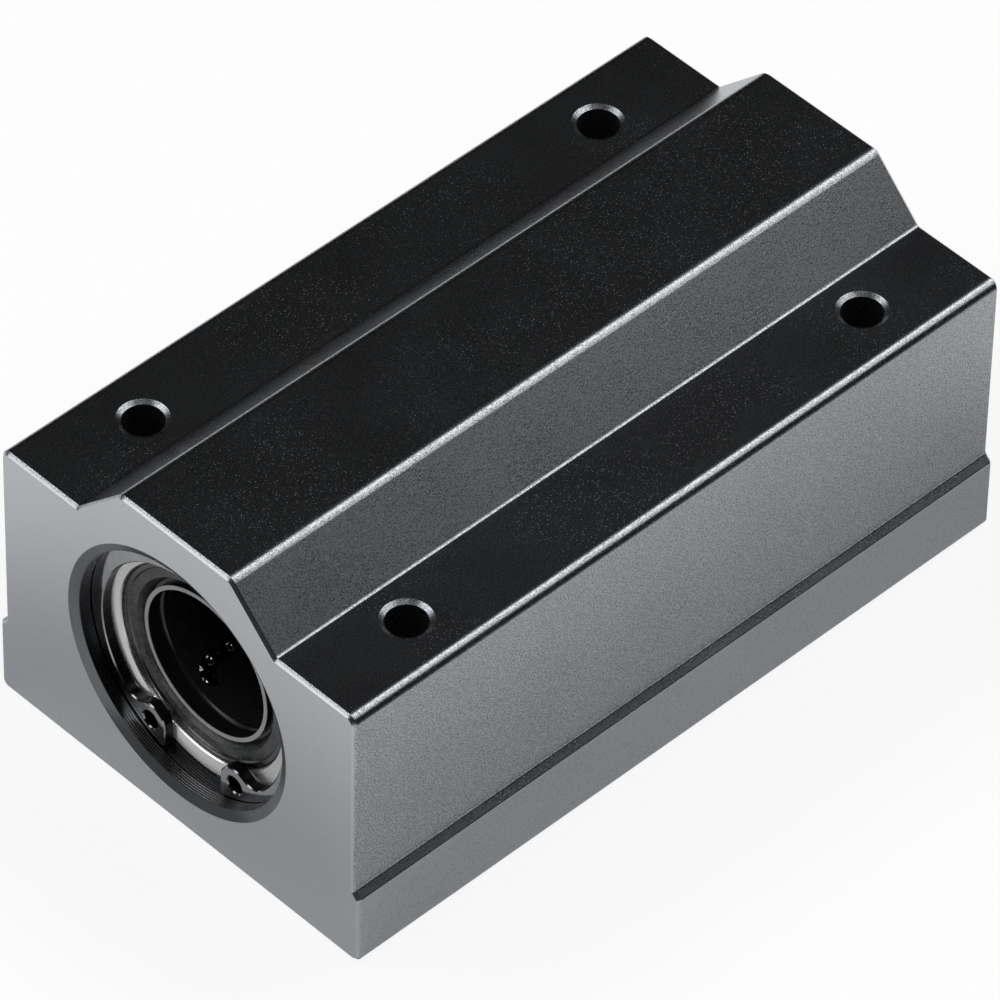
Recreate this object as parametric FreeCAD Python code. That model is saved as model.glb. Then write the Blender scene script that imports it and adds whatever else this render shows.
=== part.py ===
import FreeCAD, Part
import math
import os

from FreeCAD import Vector

# Long linear bearing block for a 16 mm shaft.
#
# Frame: the shaft runs along X, the block stands on its flat mounting face
# in the plane z = 0, Z is up, and the origin is at the middle of that face.
# All sizes are in millimetres.

# --- Block -----------------------------------------------------------------
BLOCK_WIDTH = 50.0
SHOULDER_HEIGHT = 32.5
FLANGE_HEIGHT = 8.65        # upright side of the flange
FLANGE_STEP = 0.8           # how far the flange stands out from the side above it
RIDGE_TOP_WIDTH = 15.0
RIDGE_FOOT_WIDTH = 27.0
SHAFT_HEIGHT = 19.0         # shaft axis above the mounting face
RIDGE_WALL = 5.5            # ridge top above the bore

BASE_EDGE_ROUND = 1.0
FLANGE_EDGE_ROUND = 0.4
FLANGE_FOOT_ROUND = 0.4     # hollow where the flange's 45 degree slope meets the side
SHOULDER_EDGE_ROUND = 1.1
RIDGE_FOOT_ROUND = 0.5
RIDGE_EDGE_ROUND = 1.4
END_EDGE_BREAK = 0.35

# --- Screw holes -----------------------------------------------------------
HOLE_SPACING_X = 60.0
HOLE_SPACING_Y = 36.0
HOLE_DIAMETER = 4.3         # clear for M4 from above, core of the M5 thread below
HOLE_CHAMFER_RADIAL = 0.5   # countersunk with a drill point
HOLE_CHAMFER_AXIAL = 0.3

# --- Bore of the block -----------------------------------------------------
BEARING_DIAMETER = 28.0
MOUTH_CHAMFER_RADIAL = 1.0
MOUTH_CHAMFER_AXIAL = 0.5
RING_GROOVE_DEPTH = 0.7
RING_GROOVE_WIDTH = 1.3
RING_GROOVE_INSET = 1.85    # end face of the block to the near wall of the groove

# --- Retaining ring --------------------------------------------------------
RING_THICKNESS = 1.2
RING_CLEARANCE = 0.02       # ring to the floor of its groove
RING_BACK_WIDTH = 2.9       # radial width opposite the gap
RING_ARM_WIDTH = 1.55       # radial width beside the lugs
RING_GAP_WIDTH = 7.7
LUG_RADIUS = 2.0
LUG_HOLE_DIAMETER = 2.0
LUG_HOLE_INSET = 2.43       # outer edge of the ring to the middle of a lug hole
LUG_NECK_ROUND = 2.0
LUG_TOE_ROUND = 1.2         # corner of a lug at the gap and the outer edge
RING_EDGE_BREAK = 0.12

# --- Linear ball bearing, one at each end of the block ----------------------
SHAFT_DIAMETER = 16.0
BEARING_LENGTH = 37.0
BALL_DIAMETER = 2.381
ROW_COUNT = 5               # closed circuits of balls around the shaft
TRACK_SPACING = 3.6         # loaded run to return run of one circuit
BALL_PLAY = 0.01            # least gap between two balls of a circuit
RACE_CLEARANCE = 0.01       # loaded ball to the race, in radius
RETURN_CLEARANCE = 0.09     # returning ball to the sleeve, in radius
TRACK_CLEARANCE = 0.06      # ball to the wall of its track, in radius

SLEEVE_CHAMFER = 0.8
SLEEVE_FIT = 0.02           # sleeve to the bore of the block, in radius
SLEEVE_GROOVE_SPAN = 26.5   # over the outer walls of the two outside grooves
SLEEVE_GROOVE_WIDTH = 1.6
SLEEVE_GROOVE_DEPTH = 0.5
SLEEVE_SEAT_BREAK = 0.12    # edge break where the seat opens in the end face

RETAINER_SHAFT_GAP = 0.3    # retainer to the shaft, in radius
RETAINER_SLEEVE_GAP = 0.1   # retainer to the sleeve, in radius and at its ribs' flanks
RETAINER_END_GAP = 0.1
RETAINER_END_WALL = 0.8     # material between a track's turn and the retainer's end
RETAINER_LEAD_IN = 0.45
RIB_WALL = 0.45             # rib's wall beside the returning balls

END_RING_INSET = 0.35       # end face of the sleeve to the end ring
END_RING_LENGTH = 1.95
END_RING_WALL = 0.72
END_RING_FIT = 0.01
END_RING_EDGE_BREAK = 0.15

SEAL_FIT = 0.01             # seal to the inside of its end ring, in radius
SEAL_RIM_INSET = 0.15       # end ring's face to the seal's rim
SEAL_RIM_WIDTH = 1.0
SEAL_DISH_DEPTH = 1.1
SEAL_GROOVE_WIDTH = 0.3     # flat floor of the dish around the lip
SEAL_LIP_WIDTH = 0.45
SEAL_LIP_INSET = 0.25       # end ring's face to the face of the lip
SEAL_LIP_LENGTH = 0.5       # straight wall of the lip that meets the shaft
SEAL_BACK_GAP = 0.2         # back of the seal to the shaft, in radius

# --- Spacer between the two bearings ---------------------------------------
SPACER_LENGTH = 4.7
SPACER_WALL = 2.0

# --- Places that follow from the sizes above --------------------------------
# The block is as long as its two bearings, the spacer and the ring grooves need,
# and as high as the wall above the bore needs.
BORE_RADIUS = BEARING_DIAMETER / 2
BEARING_INSET = RING_GROOVE_INSET + RING_GROOVE_WIDTH
BLOCK_LENGTH = 2 * (BEARING_INSET + BEARING_LENGTH) + SPACER_LENGTH
BLOCK_HEIGHT = SHAFT_HEIGHT + BORE_RADIUS + RIDGE_WALL

AXIS_POINT = Vector(0, 0, SHAFT_HEIGHT)
ALONG_SHAFT = Vector(1, 0, 0)
NEAR_END = -BLOCK_LENGTH / 2

SHAFT_RADIUS = SHAFT_DIAMETER / 2
BALL_RADIUS = BALL_DIAMETER / 2
TRACK_RADIUS = BALL_RADIUS + TRACK_CLEARANCE

# A circuit lies in the plane that touches the loaded run's own radius, so a
# ball leaves the shaft as soon as it turns towards the return run.
LOADED_RADIUS = SHAFT_RADIUS + BALL_RADIUS
RETURN_RADIUS = math.hypot(LOADED_RADIUS, TRACK_SPACING)
RETURN_ANGLE = math.degrees(math.atan2(TRACK_SPACING, LOADED_RADIUS))
RACE_RADIUS = SHAFT_RADIUS + BALL_DIAMETER + RACE_CLEARANCE
SEAT_RADIUS = RETURN_RADIUS + BALL_RADIUS + RETURN_CLEARANCE

BEARING_START = NEAR_END + BEARING_INSET
BEARING_MIDDLE = BEARING_START + BEARING_LENGTH / 2

RETAINER_INSET = END_RING_INSET + END_RING_LENGTH + RETAINER_END_GAP
RETAINER_LENGTH = BEARING_LENGTH - 2 * RETAINER_INSET
RETAINER_INNER_RADIUS = SHAFT_RADIUS + RETAINER_SHAFT_GAP
RETAINER_OUTER_RADIUS = RACE_RADIUS - RETAINER_SLEEVE_GAP

# Half the angle of a rib, seen from the shaft axis, and of the relief around it.
RIB_HALF_ANGLE = math.degrees(math.asin((TRACK_RADIUS + RIB_WALL) / RETURN_RADIUS))
RELIEF_MARGIN = math.degrees(RETAINER_SLEEVE_GAP / RACE_RADIUS)

# A circuit's turns are half circles about these two middles.
TURN_RADIUS = TRACK_SPACING / 2
TURN_INSET = RETAINER_END_WALL + TRACK_RADIUS + TURN_RADIUS
RUN_LENGTH = RETAINER_LENGTH - 2 * TURN_INSET
RUN_START = BEARING_START + RETAINER_INSET + TURN_INSET

SEAL_OUTER_RADIUS = SEAT_RADIUS - END_RING_FIT - END_RING_WALL - SEAL_FIT


# --- Building blocks ---------------------------------------------------------
def turned(profile):
    """Solid of revolution about the shaft axis from (x, radius) corners."""
    corners = [Vector(x, 0, SHAFT_HEIGHT + radius) for x, radius in profile]
    face = Part.Face(Part.makePolygon(corners + corners[:1]))
    return face.revolve(AXIS_POINT, ALONG_SHAFT, 360)


def tube(start, length, inner_radius, outer_radius):
    """Plain ring about the shaft axis."""
    outer = Part.makeCylinder(outer_radius, length, AXIS_POINT + Vector(start, 0, 0), ALONG_SHAFT)
    inner = Part.makeCylinder(inner_radius, length, AXIS_POINT + Vector(start, 0, 0), ALONG_SHAFT)
    return outer.cut(inner)


def polar(x, radius, angle):
    """Point at a radius from the shaft axis, with angle 0 straight up and turning towards +Y."""
    turn = math.radians(angle)
    return Vector(x, radius * math.sin(turn), SHAFT_HEIGHT + radius * math.cos(turn))


def arc(x, radius, first, last):
    """Arc about the shaft axis between two angles."""
    middle = (first + last) / 2
    curve = Part.Arc(polar(x, radius, first), polar(x, radius, middle), polar(x, radius, last))
    return curve.toShape()


def sector(start, length, inner_radius, outer_radius, middle_angle, half_angle):
    """Part of a ring about the shaft axis, between two radial planes."""
    first = middle_angle - half_angle
    last = middle_angle + half_angle
    edges = [
        arc(start, inner_radius, first, last),
        Part.makeLine(polar(start, inner_radius, last), polar(start, outer_radius, last)),
        arc(start, outer_radius, last, first),
        Part.makeLine(polar(start, outer_radius, first), polar(start, inner_radius, first)),
    ]
    return Part.Face(Part.Wire(edges)).extrude(Vector(length, 0, 0))


def row_angle(row):
    """Angle of a circuit's loaded run: the first row is straight above the shaft."""
    return row * 360.0 / ROW_COUNT


def in_row(shape, row):
    """Copy of a shape made for the top row, turned about the shaft to its own row."""
    copy = shape.copy()
    copy.rotate(AXIS_POINT, ALONG_SHAFT, -row_angle(row))
    return copy


def at_far_end(shape):
    """Copy of a near-end shape, turned end for end about the block's upright middle line."""
    copy = shape.copy()
    copy.rotate(Vector(0, 0, 0), Vector(0, 0, 1), 180)
    return copy


def at_inner_end(shape):
    """Copy of a shape from the near bearing's outer end, flipped to its inner end."""
    return shape.mirror(Vector(BEARING_MIDDLE, 0, 0), ALONG_SHAFT)


# --- Block -------------------------------------------------------------------
def rounded_outline(corners):
    """Closed wire in the plane of the near end, through corners (y, z, rounding radius)."""
    points = [Vector(NEAR_END, y, z) for y, z, _ in corners]
    arcs = []
    for index, (_, _, radius) in enumerate(corners):
        corner = points[index]
        back = (points[index - 1] - corner).normalize()
        ahead = (points[(index + 1) % len(points)] - corner).normalize()
        half_angle = back.getAngle(ahead) / 2
        reach = radius / math.tan(half_angle)
        centre = corner + (back + ahead).normalize() * (radius / math.sin(half_angle))
        middle = centre + (corner - centre).normalize() * radius
        arcs.append((corner + back * reach, middle, corner + ahead * reach))
    edges = []
    for index, (start, middle, end) in enumerate(arcs):
        edges.append(Part.makeLine(arcs[index - 1][2], start))
        edges.append(Part.Arc(start, middle, end).toShape())
    return Part.Wire(edges)


def block_outline():
    """Section of the block: flange, upright sides, shoulders and the ridge with 45 degree flanks.

    The flange's top slopes at 45 degrees up to the side above it.
    """
    flange = BLOCK_WIDTH / 2
    side = flange - FLANGE_STEP
    foot = RIDGE_FOOT_WIDTH / 2
    top = RIDGE_TOP_WIDTH / 2
    right = [
        (flange, 0.0, BASE_EDGE_ROUND),
        (flange, FLANGE_HEIGHT, FLANGE_EDGE_ROUND),
        (side, FLANGE_HEIGHT + FLANGE_STEP, FLANGE_FOOT_ROUND),
        (side, SHOULDER_HEIGHT, SHOULDER_EDGE_ROUND),
        (foot, SHOULDER_HEIGHT, RIDGE_FOOT_ROUND),
        (top, BLOCK_HEIGHT, RIDGE_EDGE_ROUND),
    ]
    left = [(-y, z, radius) for y, z, radius in reversed(right)]
    return rounded_outline(right + left)


def block_body():
    """Extruded bar with the edges of both end faces broken."""
    bar = Part.Face(block_outline()).extrude(Vector(BLOCK_LENGTH, 0, 0))
    end_edges = [edge for edge in bar.Edges if edge.BoundBox.XLength < END_EDGE_BREAK]
    return bar.makeChamfer(END_EDGE_BREAK, end_edges)


def block_bore():
    """What the boring tool takes out: the straight bore, both mouths and both ring grooves."""
    mouth_radius = BORE_RADIUS + MOUTH_CHAMFER_RADIAL
    groove_radius = BORE_RADIUS + RING_GROOVE_DEPTH
    groove_start = NEAR_END + RING_GROOVE_INSET
    groove_end = groove_start + RING_GROOVE_WIDTH
    near_half = [
        (NEAR_END, mouth_radius),
        (NEAR_END + MOUTH_CHAMFER_AXIAL, BORE_RADIUS),
        (groove_start, BORE_RADIUS),
        (groove_start, groove_radius),
        (groove_end, groove_radius),
        (groove_end, BORE_RADIUS),
    ]
    far_half = [(-x, radius) for x, radius in reversed(near_half)]
    return turned([(NEAR_END, 0.0)] + near_half + far_half + [(-NEAR_END, 0.0)])


def screw_hole(x, y):
    """Through hole with a chamfer at the shoulder and at the mounting face."""
    radius = HOLE_DIAMETER / 2
    wide = radius + HOLE_CHAMFER_RADIAL
    depth = HOLE_CHAMFER_AXIAL
    place = Vector(x, y, 0)
    shank = Part.makeCylinder(radius, SHOULDER_HEIGHT, place)
    upper = Part.makeCone(radius, wide, depth, place + Vector(0, 0, SHOULDER_HEIGHT - depth))
    lower = Part.makeCone(wide, radius, depth, place)
    return shank.fuse([upper, lower])


def housing_block():
    body = block_body().cut(block_bore())
    for x in (-HOLE_SPACING_X / 2, HOLE_SPACING_X / 2):
        for y in (-HOLE_SPACING_Y / 2, HOLE_SPACING_Y / 2):
            body = body.cut(screw_hole(x, y))
    return body


# --- Retaining ring ------------------------------------------------------------
def disc(radius, thickness, y, z):
    """Round plate that starts at the ring's front face, centred at y and z from the shaft axis."""
    front = NEAR_END + BEARING_INSET - RING_THICKNESS
    return Part.makeCylinder(radius, thickness, Vector(front, y, SHAFT_HEIGHT + z), ALONG_SHAFT)


def ring_lug(side, outer_radius):
    """Ear with a plier hole, squared off towards the gap and joined to the arm beneath it."""
    y = side * (RING_GAP_WIDTH / 2 + LUG_RADIUS)
    z = -math.sqrt((outer_radius - LUG_HOLE_INSET) ** 2 - y ** 2)
    ear = disc(LUG_RADIUS, RING_THICKNESS, y, z)
    front = NEAR_END + BEARING_INSET - RING_THICKNESS
    foot = Part.makeBox(RING_THICKNESS, LUG_RADIUS, outer_radius + z)
    foot_side = min(side * RING_GAP_WIDTH / 2, y)
    foot.translate(Vector(front, foot_side, SHAFT_HEIGHT - outer_radius))
    rim = disc(outer_radius, RING_THICKNESS, 0, 0)
    hole = disc(LUG_HOLE_DIAMETER / 2, RING_THICKNESS, y, z)
    return ear.fuse(foot).common(rim), hole


def neck_edges(shape, inner_radius):
    """Edges across the thickness where an ear runs into the inside of an arm."""
    found = []
    for edge in shape.Edges:
        across = edge.BoundBox.XLength > RING_THICKNESS / 2 and len(edge.Vertexes) == 2
        middle = edge.CenterOfMass - AXIS_POINT
        radius = math.hypot(middle.y, middle.z)
        outside_ear = abs(middle.y) > RING_GAP_WIDTH / 2 + LUG_RADIUS
        if across and outside_ear and middle.z < 0 and radius < inner_radius + RING_ARM_WIDTH / 2:
            found.append(edge)
    return found


def toe_edges(shape, outer_radius):
    """Edges across the thickness where a lug's side at the gap meets the ring's outer edge."""
    found = []
    for edge in shape.Edges:
        across = edge.BoundBox.XLength > RING_THICKNESS / 2 and len(edge.Vertexes) == 2
        middle = edge.CenterOfMass - AXIS_POINT
        at_rim = abs(math.hypot(middle.y, middle.z) - outer_radius) < RING_CLEARANCE
        at_gap = abs(abs(middle.y) - RING_GAP_WIDTH / 2) < RING_CLEARANCE
        if across and at_rim and at_gap:
            found.append(edge)
    return found


def retaining_ring():
    """Internal circlip with tapered arms, its gap straight below the shaft."""
    outer_radius = BORE_RADIUS + RING_GROOVE_DEPTH - RING_CLEARANCE
    inner_radius = outer_radius - (RING_BACK_WIDTH + RING_ARM_WIDTH) / 2
    drop = (RING_BACK_WIDTH - RING_ARM_WIDTH) / 2
    ring = disc(outer_radius, RING_THICKNESS, 0, 0).cut(disc(inner_radius, RING_THICKNESS, 0, -drop))
    front = NEAR_END + BEARING_INSET - RING_THICKNESS
    gap = Part.makeBox(RING_THICKNESS, RING_GAP_WIDTH, outer_radius)
    gap.translate(Vector(front, -RING_GAP_WIDTH / 2, SHAFT_HEIGHT - outer_radius))
    ring = ring.cut(gap)
    holes = []
    for side in (-1, 1):
        ear, hole = ring_lug(side, outer_radius)
        ring = ring.fuse(ear)
        holes.append(hole)
    ring = ring.removeSplitter()
    ring = ring.makeFillet(LUG_NECK_ROUND, neck_edges(ring, inner_radius))
    ring = ring.makeFillet(LUG_TOE_ROUND, toe_edges(ring, outer_radius))
    ring = ring.cut(holes)
    return broken_inner_edges(ring, outer_radius)


def broken_inner_edges(ring, outer_radius):
    """Break the long stamped edges on the inside of the ring, front and back."""
    edges = []
    for edge in ring.Edges:
        flat = edge.BoundBox.XLength < RING_EDGE_BREAK
        middle = edge.valueAt((edge.FirstParameter + edge.LastParameter) / 2) - AXIS_POINT
        inside = math.hypot(middle.y, middle.z) < outer_radius - RING_ARM_WIDTH / 2
        if flat and inside:
            edges.append(edge)
    return ring.makeChamfer(RING_EDGE_BREAK, edges)


# --- Bearing: sleeve -----------------------------------------------------------
def outer_sleeve():
    """Hardened sleeve with outside grooves, raised races inside and a relief for each return run."""
    start = BEARING_START
    end = start + BEARING_LENGTH
    outer = BORE_RADIUS - SLEEVE_FIT
    floor = BORE_RADIUS - SLEEVE_GROOVE_DEPTH
    first_groove = BEARING_MIDDLE - SLEEVE_GROOVE_SPAN / 2
    last_groove = BEARING_MIDDLE + SLEEVE_GROOVE_SPAN / 2
    race_start = RUN_START
    race_end = RUN_START + RUN_LENGTH
    ramp = SEAT_RADIUS - RACE_RADIUS
    profile = [
        (start, outer - SLEEVE_CHAMFER),
        (start + SLEEVE_CHAMFER, outer),
        (first_groove, outer),
        (first_groove, floor),
        (first_groove + SLEEVE_GROOVE_WIDTH, floor),
        (first_groove + SLEEVE_GROOVE_WIDTH, outer),
        (last_groove - SLEEVE_GROOVE_WIDTH, outer),
        (last_groove - SLEEVE_GROOVE_WIDTH, floor),
        (last_groove, floor),
        (last_groove, outer),
        (end - SLEEVE_CHAMFER, outer),
        (end, outer - SLEEVE_CHAMFER),
        (end, SEAT_RADIUS + SLEEVE_SEAT_BREAK),
        (end - SLEEVE_SEAT_BREAK, SEAT_RADIUS),
        (race_end + ramp, SEAT_RADIUS),
        (race_end, RACE_RADIUS),
        (race_start, RACE_RADIUS),
        (race_start - ramp, SEAT_RADIUS),
        (start + SLEEVE_SEAT_BREAK, SEAT_RADIUS),
        (start, SEAT_RADIUS + SLEEVE_SEAT_BREAK),
    ]
    sleeve = turned(profile)
    relief_half_angle = RIB_HALF_ANGLE + RELIEF_MARGIN
    relief = sector(start, BEARING_LENGTH, SHAFT_RADIUS, SEAT_RADIUS, RETURN_ANGLE, relief_half_angle)
    return sleeve.cut([in_row(relief, row) for row in range(ROW_COUNT)])


# --- Bearing: ball retainer ------------------------------------------------------
def retainer_rib():
    """Raised rib that carries a return run and keys the retainer in the sleeve's relief."""
    start = BEARING_START + RETAINER_INSET
    top_radius = SEAT_RADIUS - RETAINER_SLEEVE_GAP
    return sector(start, RETAINER_LENGTH, LOADED_RADIUS, top_radius, RETURN_ANGLE, RIB_HALF_ANGLE)


def track_section(x, y):
    """Cross-section of a track: round floor, upright walls, open above the sleeve's seat radius."""
    height = SHAFT_HEIGHT + LOADED_RADIUS
    top = SHAFT_HEIGHT + SEAT_RADIUS + TRACK_CLEARANCE
    left = Vector(x, y - TRACK_RADIUS, height)
    right = Vector(x, y + TRACK_RADIUS, height)
    upper_left = Vector(x, y - TRACK_RADIUS, top)
    upper_right = Vector(x, y + TRACK_RADIUS, top)
    edges = [
        Part.Arc(left, Vector(x, y, height - TRACK_RADIUS), right).toShape(),
        Part.makeLine(right, upper_right),
        Part.makeLine(upper_right, upper_left),
        Part.makeLine(upper_left, left),
    ]
    return Part.Face(Part.Wire(edges))


def ball_track():
    """The top row's closed track: a loaded run, a return run and two half-circle turns."""
    run = Vector(RUN_LENGTH, 0, 0)
    near_pivot = Vector(RUN_START, TURN_RADIUS, 0)
    far_pivot = near_pivot + run
    upright = Vector(0, 0, 1)
    loaded_run = track_section(RUN_START, 0).extrude(run)
    return_run = track_section(RUN_START, TRACK_SPACING).extrude(run)
    near_turn = track_section(near_pivot.x, 0).revolve(near_pivot, upright, -180)
    far_turn = track_section(far_pivot.x, 0).revolve(far_pivot, upright, 180)
    return loaded_run.fuse([return_run, near_turn, far_turn]).removeSplitter()


def ball_retainer():
    """Moulded cage with one closed track for each row, open to the shaft under the loaded run."""
    start = BEARING_START + RETAINER_INSET
    end = start + RETAINER_LENGTH
    inner = RETAINER_INNER_RADIUS
    wide = inner + RETAINER_LEAD_IN
    cage = turned([
        (start, wide),
        (start, RETAINER_OUTER_RADIUS),
        (end, RETAINER_OUTER_RADIUS),
        (end, wide),
        (end - RETAINER_LEAD_IN, inner),
        (start + RETAINER_LEAD_IN, inner),
    ])
    cage = cage.fuse([in_row(retainer_rib(), row) for row in range(ROW_COUNT)]).removeSplitter()
    return cage.cut([in_row(ball_track(), row) for row in range(ROW_COUNT)])


# --- Bearing: balls --------------------------------------------------------------
def circuit_point(distance):
    """Middle of a ball at a distance along the top row's closed path, from the loaded run's start."""
    height = SHAFT_HEIGHT + LOADED_RADIUS
    turn_length = math.pi * TURN_RADIUS
    if distance < RUN_LENGTH:
        return Vector(RUN_START + distance, 0, height)
    distance -= RUN_LENGTH
    if distance < turn_length:
        angle = distance / TURN_RADIUS
        x = RUN_START + RUN_LENGTH + TURN_RADIUS * math.sin(angle)
        return Vector(x, TURN_RADIUS * (1 - math.cos(angle)), height)
    distance -= turn_length
    if distance < RUN_LENGTH:
        return Vector(RUN_START + RUN_LENGTH - distance, TRACK_SPACING, height)
    angle = (distance - RUN_LENGTH) / TURN_RADIUS
    x = RUN_START - TURN_RADIUS * math.sin(angle)
    return Vector(x, TURN_RADIUS * (1 + math.cos(angle)), height)


def ball_circuit(row):
    """All balls of one row, spread evenly around their closed track.

    Across a turn two neighbours are a chord apart, which is less than their way along
    the track, so the turns decide how many balls fit.
    """
    path_length = 2 * RUN_LENGTH + 2 * math.pi * TURN_RADIUS
    least_chord = BALL_DIAMETER + BALL_PLAY
    least_spacing = 2 * TURN_RADIUS * math.asin(least_chord / (2 * TURN_RADIUS))
    count = int(path_length / least_spacing)
    balls = []
    for index in range(count):
        middle = circuit_point(index * path_length / count)
        balls.append(Part.makeSphere(BALL_RADIUS, middle))
    return in_row(Part.makeCompound(balls), row)


# --- Bearing: end ring and seal -----------------------------------------------------
def end_ring():
    """Steel ring pressed into the seat at the sleeve's end, around the seal."""
    start = BEARING_START + END_RING_INSET
    end = start + END_RING_LENGTH
    outer = SEAT_RADIUS - END_RING_FIT
    inner = outer - END_RING_WALL
    edge = END_RING_EDGE_BREAK
    return turned([
        (start, inner + edge),
        (start, outer - edge),
        (start + edge, outer),
        (end, outer),
        (end, inner),
        (start + edge, inner),
    ])


def seal():
    """Rubber wiper: flat rim, dished face, and a lip that stands out around the shaft."""
    ring_face = BEARING_START + END_RING_INSET
    rim_face = ring_face + SEAL_RIM_INSET
    back = ring_face + END_RING_LENGTH
    dish_floor = rim_face + SEAL_DISH_DEPTH
    lip_face = ring_face + SEAL_LIP_INSET
    lip_end = lip_face + SEAL_LIP_LENGTH
    back_radius = SHAFT_RADIUS + SEAL_BACK_GAP
    lip_outer = SHAFT_RADIUS + SEAL_LIP_WIDTH
    return turned([
        (rim_face, SEAL_OUTER_RADIUS),
        (rim_face, SEAL_OUTER_RADIUS - SEAL_RIM_WIDTH),
        (dish_floor, lip_outer + SEAL_GROOVE_WIDTH),
        (dish_floor, lip_outer),
        (lip_face, lip_outer),
        (lip_face, SHAFT_RADIUS),
        (lip_end, SHAFT_RADIUS),
        (lip_end + SEAL_BACK_GAP, back_radius),
        (back, back_radius),
        (back, SEAL_OUTER_RADIUS),
    ])


# --- Spacer ---------------------------------------------------------------------------
def spacer_sleeve():
    """Plain ring that keeps the two bearings apart in the middle of the bore."""
    outer = BORE_RADIUS - SLEEVE_FIT
    return tube(-SPACER_LENGTH / 2, SPACER_LENGTH, outer - SPACER_WALL, outer)


# --- Assembly ---------------------------------------------------------------------------
def near_pieces():
    """Pieces of the near end by name, without the end's own prefix."""
    pieces = {
        "retaining_ring": retaining_ring(),
        "bearing_sleeve": outer_sleeve(),
        "ball_retainer": ball_retainer(),
        "outer_end_ring": end_ring(),
        "outer_seal": seal(),
        "inner_end_ring": at_inner_end(end_ring()),
        "inner_seal": at_inner_end(seal()),
    }
    for row in range(ROW_COUNT):
        pieces["ball_circuit_%d" % (row + 1)] = ball_circuit(row)
    return pieces


def all_pieces():
    pieces = {"housing_block": housing_block(), "spacer_sleeve": spacer_sleeve()}
    for name, shape in near_pieces().items():
        pieces["near_" + name] = shape
        pieces["far_" + name] = at_far_end(shape)
    return pieces


os.makedirs("parts", exist_ok=True)
for node, shape in all_pieces().items():
    shape.exportStep("parts/%s.step" % node)
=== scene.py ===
import math

import bpy
from mathutils import Matrix, Vector

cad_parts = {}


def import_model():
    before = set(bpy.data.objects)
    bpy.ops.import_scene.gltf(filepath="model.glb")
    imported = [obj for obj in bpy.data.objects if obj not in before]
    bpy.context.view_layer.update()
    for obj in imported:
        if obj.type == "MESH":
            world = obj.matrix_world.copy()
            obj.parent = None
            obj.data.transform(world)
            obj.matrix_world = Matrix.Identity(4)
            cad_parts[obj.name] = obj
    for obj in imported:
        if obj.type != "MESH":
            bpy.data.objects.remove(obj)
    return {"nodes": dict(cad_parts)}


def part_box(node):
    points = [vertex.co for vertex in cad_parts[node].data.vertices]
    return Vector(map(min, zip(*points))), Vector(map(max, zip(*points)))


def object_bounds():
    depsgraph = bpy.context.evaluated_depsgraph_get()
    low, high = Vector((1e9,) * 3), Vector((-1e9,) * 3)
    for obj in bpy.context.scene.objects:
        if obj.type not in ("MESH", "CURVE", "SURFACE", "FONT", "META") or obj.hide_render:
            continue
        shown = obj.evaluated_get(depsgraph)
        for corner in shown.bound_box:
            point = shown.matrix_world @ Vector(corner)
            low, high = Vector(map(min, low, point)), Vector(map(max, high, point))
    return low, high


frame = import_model()
CAD_LOW, CAD_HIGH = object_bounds()

# Linear bearing block in black anodised aluminium: one bearing and one
# retaining ring in each end of the bore. Metres, shaft along X, Z up.
NODES = frame["nodes"]
HALF_LENGTH = CAD_HIGH.x
BORE_AXIS_HEIGHT = sum(c.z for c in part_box("near_bearing_sleeve")) / 2
MM = 0.001
DISH_SLOPE = 0.3            # how far the ground end faces of the sleeves lean towards the axis
DOT_CORE = 0.4              # part of a dot's radius that has its full strength

# --- Where one finish, or a painted shade or sheen, gives way to another ----------
# Each pair is where the change starts and where it is complete.
MOUTH_EDGE = (15.06 * MM, 15.0 * MM)        # radius: end face to the mouth of the bore
CHAMFER_EDGE = (0.44 * MM, 0.52 * MM)       # depth: chamfer of the mouth to the wall of the bore
END_FACE_EDGE = (0.3 * MM, 0.05 * MM)       # depth: etched skin to the milled end face
LONG_SIDE_EDGE = (CAD_LOW.y + 0.1 * MM, CAD_LOW.y + 0.6 * MM)   # y: near long side to the rest
BORE_BOTTOM = (-10 * MM, -12.5 * MM)        # height over the bore axis: side to bottom of the bore
LIP_EDGE = (8.52 * MM, 8.46 * MM)           # radius: dish of a seal to its lip

# --- Camera -------------------------------------------------------------------
VIEW_AZIMUTH = -44.9        # degrees, 0 looks along +Y
VIEW_ELEVATION = 45.194
VIEW_ROLL = 1.289
VIEW_DISTANCE = 0.9078
VIEW_SIDE_STEP = -0.00028   # small steps of the camera across the line of sight
VIEW_UP_STEP = -0.00358
LENS = 341.3                # mm
SENSOR_WIDTH = 36.0         # mm
NEAREST_SEEN = 0.05         # distances between which things are drawn
FARTHEST_SEEN = 50.0

# --- Studio -------------------------------------------------------------------
FLOOR_RADIUS = 6.0
FLOOR_COLOUR = (0.87, 0.875, 0.885)
# Painted reflection: a dark colour that only the gloss sees in front of the block.
GLOSS_DARK_FRONT_COLOUR = (0.1, 0.1, 0.1)
# Share of plain white in the floor, beside the block and away from it.
CAMERA_WHITE_NEAR = 0.88
CAMERA_WHITE_FAR = 0.96
GLOSS_WHITE_NEAR = 0.16
GLOSS_WHITE_FAR = 1.0
WHITE_FROM = 8 * MM         # distance from the block's sides where the floor starts to whiten
WHITE_TO = 33 * MM
# In front of the block the floor is painted dark for glossy rays only: a painted reflection of a dark
# room, which the camera does not see.
GLOSS_DARK_FRONT_FROM = -56 * MM     # y
GLOSS_DARK_FRONT_TO = -115 * MM
WORLD_COLOUR = (0.98, 0.99, 1.0)
WORLD_LEVEL = 0.012
LAMP_DISTANCE = 0.9


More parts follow.
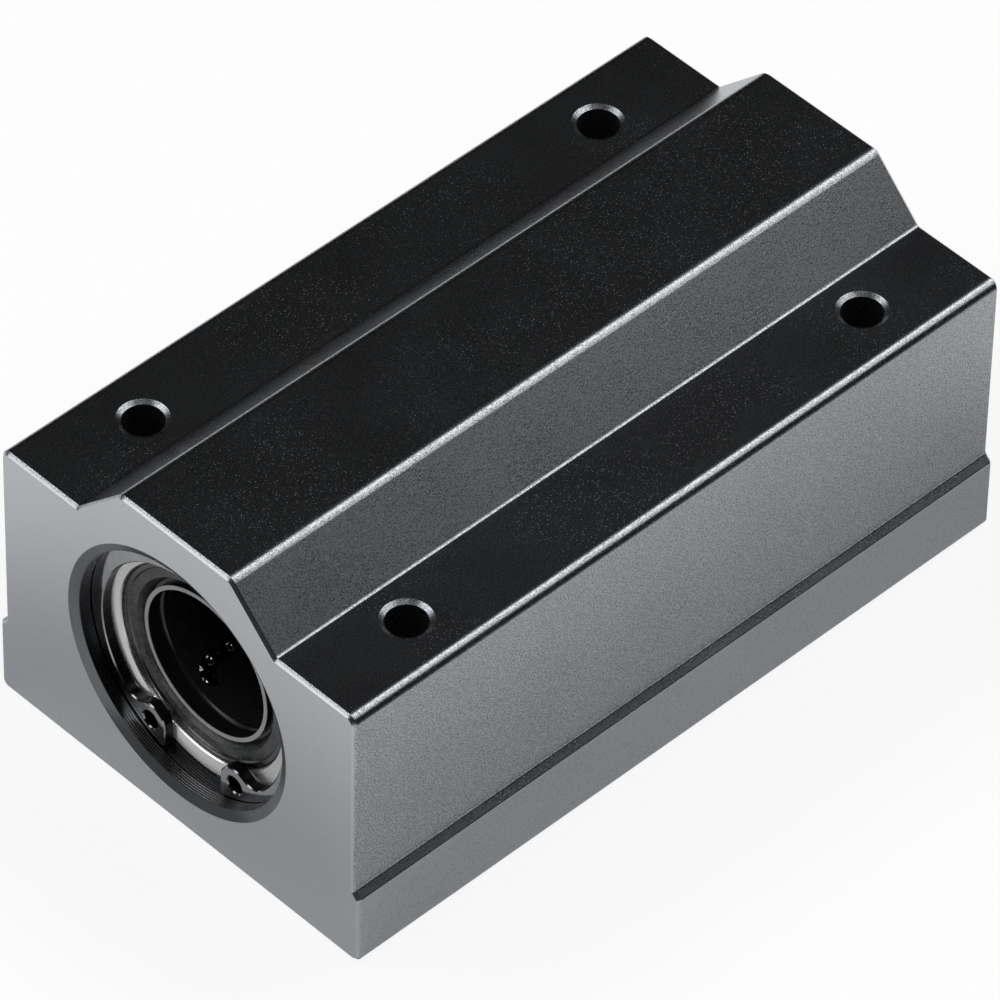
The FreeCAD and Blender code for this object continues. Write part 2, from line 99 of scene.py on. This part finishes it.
# --- Small helpers for materials -------------------------------------------------
class Nodes:
    """Builds one material's node tree."""

    def __init__(self, name):
        self.material = bpy.data.materials.new(name)
        self.material.use_nodes = True
        self.tree = self.material.node_tree
        self.shader = self.tree.nodes["Principled BSDF"]
        self.place = self.add("ShaderNodeTexCoord").outputs["Object"]

    def add(self, kind, **values):
        """New node of this kind, with its settings."""
        node = self.tree.nodes.new(kind)
        for key, value in values.items():
            setattr(node, key, value)
        return node

    def feed(self, socket, value):
        """Links a socket's value in, or sets a plain number or colour."""
        if isinstance(value, bpy.types.NodeSocket):
            self.tree.links.new(value, socket)
        elif isinstance(value, (tuple, list)) and len(value) == 3 and socket.type == "RGBA":
            socket.default_value = (*value, 1.0)
        else:
            socket.default_value = value

    def math(self, operation, *values):
        """Result of one arithmetic operation."""
        node = self.add("ShaderNodeMath", operation=operation)
        for socket, value in zip(node.inputs, values):
            self.feed(socket, value)
        return node.outputs[0]

    def noise(self, size, detail, roughness=0.5, stretch=None):
        """Noise whose features are about size metres wide, or longer where stretch is below 1."""
        place = self.place
        if stretch:
            mapping = self.add("ShaderNodeMapping")
            self.feed(mapping.inputs["Vector"], place)
            mapping.inputs["Scale"].default_value = stretch
            place = mapping.outputs[0]
        node = self.add("ShaderNodeTexNoise")
        self.feed(node.inputs["Vector"], place)
        node.inputs["Scale"].default_value = 1.0 / size
        node.inputs["Detail"].default_value = detail
        node.inputs["Roughness"].default_value = roughness
        return node.outputs["Fac"]

    def dots(self, spacing, radius, share):
        """Dots of differing strength, one to a cell of the given spacing.

        The radius is a part of the spacing, and the share is the part of the cells with a dot.
        """
        node = self.add("ShaderNodeTexVoronoi")
        self.feed(node.inputs["Vector"], self.place)
        node.inputs["Scale"].default_value = 1.0 / spacing
        pick = self.add("ShaderNodeSeparateColor")
        self.feed(pick.inputs[0], node.outputs["Color"])
        near = self.ramp(node.outputs["Distance"], radius, radius * DOT_CORE)
        picked = self.math("LESS_THAN", pick.outputs[0], share)
        return self.math("MULTIPLY", near, self.math("MULTIPLY", picked, pick.outputs[1]))

    def ramp(self, value, low, high, low_result=0.0, high_result=1.0):
        """Goes smoothly from one result to the other as value goes from low to high."""
        node = self.add("ShaderNodeMapRange", interpolation_type="SMOOTHSTEP")
        for socket, number in zip(node.inputs, (value, low, high, low_result, high_result)):
            self.feed(socket, number)
        return node.outputs[0]

    def mix(self, factor, first, second):
        """Colour between two colours."""
        # The node has sockets for every data type: 6 and 7 take the colours.
        node = self.add("ShaderNodeMix", data_type="RGBA")
        self.feed(node.inputs["Factor"], factor)
        self.feed(node.inputs[6], first)
        self.feed(node.inputs[7], second)
        return node.outputs[2]

    def blend(self, factor, first, second):
        """Number between two numbers."""
        # Sockets 2 and 3 take the numbers.
        node = self.add("ShaderNodeMix", data_type="FLOAT")
        self.feed(node.inputs["Factor"], factor)
        self.feed(node.inputs[2], first)
        self.feed(node.inputs[3], second)
        return node.outputs[0]

    def axes(self):
        """(x, y, height above the bore axis) of the shaded point."""
        node = self.add("ShaderNodeSeparateXYZ")
        self.feed(node.inputs[0], self.place)
        x, y, z = node.outputs
        return x, y, self.math("SUBTRACT", z, BORE_AXIS_HEIGHT)

    def diagonal(self, first, second):
        """Length of the diagonal over two lengths at right angles."""
        squares = (self.math("POWER", length, 2.0) for length in (first, second))
        return self.math("SQRT", self.math("ADD", *squares))

    def beyond(self, length, limit):
        """How far a length goes beyond a limit on either side of zero."""
        return self.math("MAXIMUM", self.math("SUBTRACT", self.math("ABSOLUTE", length), limit), 0.0)

    def radius(self):
        """Distance of the shaded point from the bore axis."""
        _, y, z = self.axes()
        return self.diagonal(y, z)

    def depth(self):
        """Distance of the shaded point behind the nearer end face."""
        x, _, _ = self.axes()
        return self.math("SUBTRACT", HALF_LENGTH, self.math("ABSOLUTE", x))

    def facing_along_shaft(self):
        """1 where the surface faces along the shaft, 0 where it faces across it."""
        node = self.add("ShaderNodeSeparateXYZ")
        self.feed(node.inputs[0], self.add("ShaderNodeNewGeometry").outputs["True Normal"])
        return self.math("ABSOLUTE", node.outputs[0])

    def distance_from_block(self):
        """Distance of a point on the floor from the outline of the block's foot."""
        x, y, _ = self.axes()
        return self.diagonal(self.beyond(x, CAD_HIGH.x), self.beyond(y, CAD_HIGH.y))

    def rings(self, along, pitch):
        """Fine turning lines, from 0 to 1, that repeat each pitch metres."""
        wave = self.math("SINE", self.math("MULTIPLY", along, 2 * math.pi / pitch))
        return self.math("MULTIPLY_ADD", wave, 0.5, 0.5)

    def bump(self, height, strength, distance, under=None):
        """Surface direction bent by a height, which distance turns into metres.

        It adds to the bumps that under already gives.
        """
        node = self.add("ShaderNodeBump")
        self.feed(node.inputs["Height"], height)
        self.feed(node.inputs["Strength"], strength)
        node.inputs["Distance"].default_value = distance
        if under is not None:
            self.feed(node.inputs["Normal"], under)
        return node.outputs[0]

    def finish(self, colour, roughness, metallic, normal=None):
        """Feeds the shader and returns the finished material."""
        self.feed(self.shader.inputs["Base Color"], colour)
        self.feed(self.shader.inputs["Roughness"], roughness)
        self.shader.inputs["Metallic"].default_value = metallic
        if normal is not None:
            self.feed(self.shader.inputs["Normal"], normal)
        return self.material


# --- Materials ------------------------------------------------------------------
def black_anodised():
    """Black anodised aluminium: etched skin outside with painted sparkle, milled end faces, and a
    bore with painted shade and turning lines that carry a painted highlight.
    """
    skin_dark = (0.345, 0.359, 0.377)
    skin_light = (0.385, 0.4, 0.42)
    milled = (0.42, 0.434, 0.45)
    pit = (0.12, 0.126, 0.133)
    # Painted sparkle: specks painted lighter and rougher, so that they catch the lamps like glints.
    painted_sparkle_speck = (0.5, 0.515, 0.54)
    # Painted shade: the bore wall and its mouth chamfer are painted dark, the chamfer darker at the
    # bottom; painted highlight: the turning lines are painted lighter.
    bore_wall_painted_shade = (0.045, 0.047, 0.05)
    turning_line_painted_highlight = (0.3, 0.305, 0.31)
    chamfer_side_painted_shade = (0.125, 0.129, 0.133)
    chamfer_bottom_painted_shade = (0.06, 0.062, 0.064)

    m = Nodes("black_anodised")
    depth = m.depth()
    in_mouth = m.ramp(m.radius(), *MOUTH_EDGE)
    past_chamfer = m.ramp(depth, *CHAMFER_EDGE)
    at_bottom = m.ramp(m.axes()[2], *BORE_BOTTOM)
    off_side = m.ramp(m.axes()[1], *LONG_SIDE_EDGE, low_result=0.35)
    on_end = m.math("MULTIPLY", m.ramp(depth, *END_FACE_EDGE), m.math("SUBTRACT", 1.0, in_mouth))
    off_end = m.math("SUBTRACT", 1.0, on_end)

    # The etched skin is cloudy and finely pitted, and strewn in loose drifts with specks painted
    # lighter and rougher as a painted sparkle.
    cloud = m.noise(9 * MM, detail=3.0)
    grain = m.noise(0.13 * MM, detail=1.0)
    pits = m.math("MULTIPLY", m.ramp(grain, 0.56, 0.36), m.math("MULTIPLY", off_side, off_end))
    drifts = m.ramp(m.noise(16 * MM, detail=1.0), 0.34, 0.62, low_result=0.2)
    specks = m.dots(0.21 * MM, radius=0.3, share=0.75)
    specks = m.math("MULTIPLY", specks, m.math("MULTIPLY", drifts, off_end))
    outside = m.mix(cloud, skin_dark, skin_light)
    outside = m.mix(on_end, outside, milled)
    outside = m.mix(m.math("MULTIPLY", pits, 0.9), outside, pit)
    outside = m.mix(specks, outside, painted_sparkle_speck)

    # Painted highlight: the turning lines are painted lighter in the lower part of the bore only,
    # where they catch the light. Painted shade: the wall and the mouth chamfer are painted dark, the
    # chamfer darkest at the bottom.
    line = m.math("POWER", m.rings(depth, pitch=0.27 * MM), 4.0)
    line = m.math("MULTIPLY", line, m.math("MULTIPLY", past_chamfer, at_bottom))
    wall = m.mix(line, bore_wall_painted_shade, turning_line_painted_highlight)
    chamfer = m.mix(at_bottom, chamfer_side_painted_shade, chamfer_bottom_painted_shade)
    mouth = m.mix(past_chamfer, chamfer, wall)

    peel = m.noise(0.25 * MM, detail=1.0)
    peel_strength = m.blend(on_end, 1.0, 0.08)
    relief = m.bump(peel, peel_strength, distance=0.005 * MM)
    line_strength = m.math("MULTIPLY", in_mouth, 0.6)
    relief = m.bump(line, line_strength, distance=0.012 * MM, under=relief)

    colour = m.mix(in_mouth, outside, mouth)
    roughness = m.blend(specks, m.blend(cloud, 0.25, 0.3), 0.7)
    return m.finish(colour, roughness, metallic=1.0, normal=relief)


def ground_steel():
    """Hardened sleeve: slightly dished end faces, ground with fine lines around the axis."""
    dull = (0.56, 0.565, 0.57)
    bright = (0.72, 0.72, 0.72)

    m = Nodes("ground_steel")
    radius = m.radius()
    lines = m.rings(radius, pitch=0.13 * MM)
    scratches = m.noise(0.12 * MM, detail=2.0)
    dish = m.math("MULTIPLY", radius, DISH_SLOPE)
    relief = m.bump(dish, strength=1.0, distance=1.0)
    relief = m.bump(lines, strength=0.3, distance=0.006 * MM, under=relief)
    relief = m.bump(scratches, strength=0.3, distance=0.006 * MM, under=relief)
    roughness = m.blend(scratches, 0.2, 0.32)
    return m.finish(m.mix(scratches, dull, bright), roughness, metallic=1.0, normal=relief)


def spring_steel():
    """Oiled spring steel: faces like a dark mirror, stamped walls black and streaked."""
    face_dark = (0.25, 0.255, 0.26)
    face_light = (0.31, 0.315, 0.325)
    wall_black = (0.02, 0.02, 0.021)
    wall_streak = (0.13, 0.13, 0.13)

    m = Nodes("oiled_spring_steel")
    on_wall = m.ramp(m.facing_along_shaft(), 0.8, 0.4)
    blotch = m.noise(1.4 * MM, detail=4.0, roughness=0.6)
    streaks = m.noise(0.22 * MM, detail=3.0, stretch=(0.15, 1.0, 1.0))
    specks = m.dots(0.5 * MM, radius=0.2, share=0.5)
    face = m.mix(m.ramp(blotch, 0.3, 0.7), face_dark, face_light)
    wall = m.mix(m.ramp(streaks, 0.6, 0.75), wall_black, wall_streak)
    face_roughness = m.blend(specks, m.blend(blotch, 0.07, 0.13), 0.45)
    wall_roughness = m.blend(blotch, 0.25, 0.4)
    roughness = m.blend(on_wall, face_roughness, wall_roughness)
    relief = m.bump(streaks, m.blend(on_wall, 0.02, 0.5), distance=0.02 * MM)
    relief = m.bump(blotch, strength=0.15, distance=0.04 * MM, under=relief)
    return m.finish(m.mix(on_wall, face, wall), roughness, metallic=1.0, normal=relief)


def end_ring_steel():
    """Thin turned steel of the bearings' end rings, darkened by oil."""
    dark = (0.05, 0.05, 0.053)
    light = (0.12, 0.12, 0.125)

    m = Nodes("end_ring_steel")
    lines = m.rings(m.radius(), pitch=0.1 * MM)
    blotch = m.noise(0.8 * MM, detail=3.0)
    relief = m.bump(lines, strength=0.3, distance=0.006 * MM)
    roughness = m.blend(blotch, 0.18, 0.3)
    return m.finish(m.mix(blotch, dark, light), roughness, metallic=1.0, normal=relief)


def ball_steel():
    """Polished balls, painted dark as a painted shade deep in the bore, in two tones that vary at
    random.
    """
    # Painted shade: far darker than polished steel, so that only glints show.
    ball_shade_dark = (0.09, 0.09, 0.093)
    ball_shade_light = (0.15, 0.15, 0.15)

    m = Nodes("ball_steel")
    film = m.noise(0.9 * MM, detail=2.0)
    return m.finish(m.mix(film, ball_shade_dark, ball_shade_light), m.blend(film, 0.04, 0.09), metallic=1.0)


def spacer_steel():
    """Plain turned steel of the spacer, with lines around it."""
    dull = (0.42, 0.42, 0.43)
    bright = (0.55, 0.55, 0.56)

    m = Nodes("spacer_steel")
    x, _, _ = m.axes()
    blotch = m.noise(1.5 * MM, detail=3.0)
    relief = m.bump(m.rings(x, pitch=0.2 * MM), strength=0.4, distance=0.008 * MM)
    roughness = m.blend(blotch, 0.3, 0.42)
    return m.finish(m.mix(blotch, dull, bright), roughness, metallic=1.0, normal=relief)


def cage_resin():
    """Black moulded resin under a film of grease that holds fine specks."""
    black = (0.006, 0.006, 0.007)
    worn = (0.014, 0.014, 0.015)

    m = Nodes("cage_resin")
    film = m.noise(0.7 * MM, detail=3.0)
    specks = m.noise(0.09 * MM, detail=2.0, roughness=0.7)
    relief = m.bump(specks, strength=0.35, distance=0.02 * MM)
    roughness = m.blend(film, 0.18, 0.35)
    return m.finish(m.mix(film, black, worn), roughness, metallic=0.0, normal=relief)


def seal_rubber():
    """Nitrile rubber: dark grey dish, a lip painted pale as a painted sheen, and black grease behind
    the lip.
    """
    dish_dark = (0.016, 0.017, 0.018)
    dish_dusty = (0.06, 0.063, 0.067)
    # Painted sheen: the lip is painted pale.
    lip_sheen_dark = (0.3, 0.305, 0.31)
    lip_sheen_light = (0.4, 0.405, 0.41)
    grease = (0.006, 0.006, 0.007)

    m = Nodes("seal_rubber")
    dust = m.noise(0.5 * MM, detail=4.0, roughness=0.6)
    grain = m.noise(0.08 * MM, detail=2.0)
    smears = m.noise(0.2 * MM, detail=3.0)
    lip_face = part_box("near_outer_seal")[0].x - CAD_LOW.x + 0.1 * MM
    in_lip = m.ramp(m.radius(), *LIP_EDGE)
    behind_lip = m.ramp(m.depth(), lip_face + 0.03 * MM, lip_face + 0.1 * MM)
    greasy = m.math("MULTIPLY", in_lip, behind_lip)

    dish = m.mix(m.ramp(dust, 0.35, 0.65), dish_dark, dish_dusty)
    lip = m.mix(dust, lip_sheen_dark, lip_sheen_light)
    colour = m.mix(in_lip, dish, m.mix(behind_lip, lip, grease))
    roughness = m.blend(greasy, m.blend(dust, 0.34, 0.5), 0.16)
    relief = m.bump(smears, m.math("MULTIPLY", greasy, 0.8), distance=0.04 * MM)
    relief = m.bump(grain, strength=0.3, distance=0.01 * MM, under=relief)
    return m.finish(colour, roughness, metallic=0.0, normal=relief)


def paint():
    """Gives every CAD node its material."""
    finishes = {
        "housing_block": black_anodised(),
        "spacer_sleeve": spacer_steel(),
        "retaining_ring": spring_steel(),
        "bearing_sleeve": ground_steel(),
        "ball_retainer": cage_resin(),
        "end_ring": end_ring_steel(),
        "seal": seal_rubber(),
        "ball_circuit": ball_steel(),
    }
    for name, piece in NODES.items():
        kind = next(key for key in finishes if key in name)
        for slot in piece.material_slots:
            slot.material = finishes[kind]


# --- Studio ----------------------------------------------------------------------
def floor_material():
    """Pale floor with its shadow, whitened for the camera and the gloss, most away from the block,
    and painted dark in front for the gloss only as a painted reflection.
    """
    m = Nodes("studio_floor")
    m.tree.nodes.remove(m.shader)
    path = m.add("ShaderNodeLightPath")
    to_camera = path.outputs["Is Camera Ray"]
    to_gloss = path.outputs["Is Glossy Ray"]
    _, y, _ = m.axes()
    away = m.ramp(m.distance_from_block(), WHITE_FROM, WHITE_TO)
    gloss_dark_front = m.math("MULTIPLY", m.ramp(y, GLOSS_DARK_FRONT_FROM, GLOSS_DARK_FRONT_TO), to_gloss)
    gloss_not_dark_front = m.math("SUBTRACT", 1.0, gloss_dark_front)

    camera_white = m.blend(away, CAMERA_WHITE_NEAR, CAMERA_WHITE_FAR)
    gloss_white = m.math("MULTIPLY", m.blend(away, GLOSS_WHITE_NEAR, GLOSS_WHITE_FAR), gloss_not_dark_front)
    for_camera = m.math("MULTIPLY", to_camera, camera_white)
    for_gloss = m.math("MULTIPLY", to_gloss, gloss_white)

    surface = m.add("ShaderNodeBsdfDiffuse")
    m.feed(surface.inputs["Color"], m.mix(gloss_dark_front, FLOOR_COLOUR, GLOSS_DARK_FRONT_COLOUR))
    white = m.add("ShaderNodeEmission")
    white.inputs["Strength"].default_value = 1.0
    mix = m.add("ShaderNodeMixShader")
    m.feed(mix.inputs[0], m.math("MAXIMUM", for_camera, for_gloss))
    m.feed(mix.inputs[1], surface.outputs[0])
    m.feed(mix.inputs[2], white.outputs[0])
    m.feed(m.tree.nodes["Material Output"].inputs["Surface"], mix.outputs[0])
    return m.material


def floor():
    """Wide round floor under the block."""
    bpy.ops.mesh.primitive_circle_add(vertices=96, radius=FLOOR_RADIUS, fill_type="NGON")
    disc = bpy.context.object
    disc.name = "studio_floor"
    disc.data.materials.append(floor_material())


def softbox(name, azimuth, elevation, width, height, radiance):
    """Area lamp that faces the block. Azimuth 0 is +X, 90 is +Y."""
    data = bpy.data.lights.new(name, "AREA")
    data.shape = "RECTANGLE"
    data.size = width
    data.size_y = height
    data.energy = radiance * math.pi * width * height
    lamp = bpy.data.objects.new(name, data)
    bpy.context.scene.collection.objects.link(lamp)
    around, above = math.radians(azimuth), math.radians(elevation)
    level = Vector((math.cos(around), math.sin(around), 0)) * math.cos(above)
    towards = level + Vector((0, 0, math.sin(above)))
    lamp.location = Vector((0, 0, BORE_AXIS_HEIGHT)) + towards * LAMP_DISTANCE
    lamp.rotation_mode = "QUATERNION"
    lamp.rotation_quaternion = towards.to_track_quat("Z", "Y")


def world():
    """Nearly dark room; only the camera sees it white, above the floor's edge."""
    scene = bpy.context.scene
    scene.world = bpy.data.worlds.new("studio_world")
    scene.world.use_nodes = True
    tree = scene.world.node_tree
    room = tree.nodes["Background"]
    room.inputs["Color"].default_value = (*WORLD_COLOUR, 1.0)
    room.inputs["Strength"].default_value = WORLD_LEVEL
    white = tree.nodes.new("ShaderNodeBackground")
    white.inputs["Color"].default_value = (1.0, 1.0, 1.0, 1.0)
    path = tree.nodes.new("ShaderNodeLightPath")
    mix = tree.nodes.new("ShaderNodeMixShader")
    tree.links.new(path.outputs["Is Camera Ray"], mix.inputs[0])
    tree.links.new(room.outputs[0], mix.inputs[1])
    tree.links.new(white.outputs[0], mix.inputs[2])
    tree.links.new(mix.outputs[0], tree.nodes["World Output"].inputs["Surface"])


def camera():
    """Camera at the chosen angle, with a slight roll and small steps across the line of sight."""
    around, above, roll = (math.radians(v) for v in (VIEW_AZIMUTH, VIEW_ELEVATION, VIEW_ROLL))
    back = Vector((math.sin(around), -math.cos(around), 0)) * math.cos(above)
    back += Vector((0, 0, math.sin(above)))
    level_right = (-back).cross(Vector((0, 0, 1))).normalized()
    level_up = level_right.cross(-back)
    right = level_right * math.cos(roll) + level_up * math.sin(roll)
    up = level_up * math.cos(roll) - level_right * math.sin(roll)

    data = bpy.data.cameras.new("camera")
    data.lens = LENS
    data.sensor_width = SENSOR_WIDTH
    data.clip_start = NEAREST_SEEN
    data.clip_end = FARTHEST_SEEN
    shot = bpy.data.objects.new("camera", data)
    bpy.context.scene.collection.objects.link(shot)
    target = (CAD_LOW + CAD_HIGH) / 2
    place = target + back * VIEW_DISTANCE + right * VIEW_SIDE_STEP + up * VIEW_UP_STEP
    turn = Matrix((right, up, back)).transposed().to_4x4()
    shot.matrix_world = Matrix.Translation(place) @ turn
    bpy.context.scene.camera = shot


camera()
floor()
world()
softbox("softbox_left", azimuth=138, elevation=42, width=0.75, height=0.6, radiance=2.4)
softbox("softbox_right", azimuth=-31, elevation=53, width=0.62, height=0.64, radiance=1.8)
softbox("key_right", azimuth=-10, elevation=59, width=0.34, height=0.34, radiance=1.5)
softbox("softbox_front", azimuth=-128, elevation=52, width=0.28, height=0.28, radiance=8.0)
paint()

bpy.context.scene.view_settings.view_transform = "Standard"
